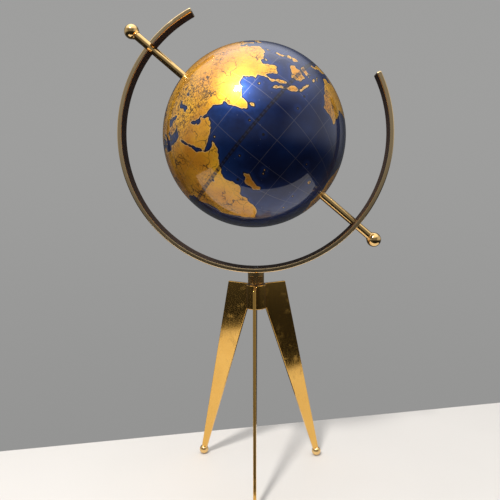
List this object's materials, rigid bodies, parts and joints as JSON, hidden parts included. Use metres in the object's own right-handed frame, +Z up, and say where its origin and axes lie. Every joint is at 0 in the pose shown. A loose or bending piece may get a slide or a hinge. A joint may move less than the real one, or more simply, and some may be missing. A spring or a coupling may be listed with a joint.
{
  "type": "desktop globe on stand",
  "caption": "Small decorative world globe on a slanted rod in an open C-shaped brass ring, on a flat-legged tripod stand with ball feet.",
  "frame": {"origin": "on the table under the vertical axis of the stand's hub, at the centre of the triangle of ball feet", "axes": "+Z up; the C-shaped ring lies in the XZ plane with its open side towards +X and up; the front leg points along -Y; the globe's centre is on +Z and its north pole leans towards -X"},
  "size_m": [0.226, 0.15, 0.3965],
  "materials": {
    "polished_brass": "polished and lacquered",
    "satin_brass": "fine satin brushed",
    "map_print": "printed in navy and gold under a clear gloss lacquer",
    "shell_plastic": "plain moulded",
    "bush_nylon": "black nylon",
    "clip_steel": "plain spring steel"
  },
  "bodies": {
    "stand": {"hub": "satin_brass", "leg_front": "satin_brass", "leg_left": "satin_brass", "leg_right": "satin_brass", "foot_front": "polished_brass", "foot_left": "polished_brass", "foot_right": "polished_brass", "swivel_washer": "bush_nylon"},
    "ring": {"neck_collar": "polished_brass", "meridian_ring": "polished_brass", "ring_screw": "polished_brass", "keeper_washer": "clip_steel", "keeper_screw": "clip_steel", "axis_rod": "polished_brass", "finial_north": "polished_brass", "finial_south": "polished_brass", "retaining_clip_north": "clip_steel", "retaining_clip_south": "clip_steel"},
    "globe": {"map_skin_north": "map_print", "map_skin_south": "map_print", "globe_shell_north": "shell_plastic", "globe_shell_south": "shell_plastic", "seam_ring": "shell_plastic", "pole_bush_north": "bush_nylon", "pole_bush_south": "bush_nylon"}
  },
  "joints": [
    {"name": "ring_swivel", "type": "hinge", "parent": "stand", "child": "ring", "pos_m": [0, 0, 0.1713], "axis": [0, 0, 1], "continuous": true},
    {"name": "globe_spin", "type": "hinge", "parent": "ring", "child": "globe", "pos_m": [0, 0, 0.2952], "axis": [-0.7547, 0, 0.6561], "continuous": true}
  ]
}
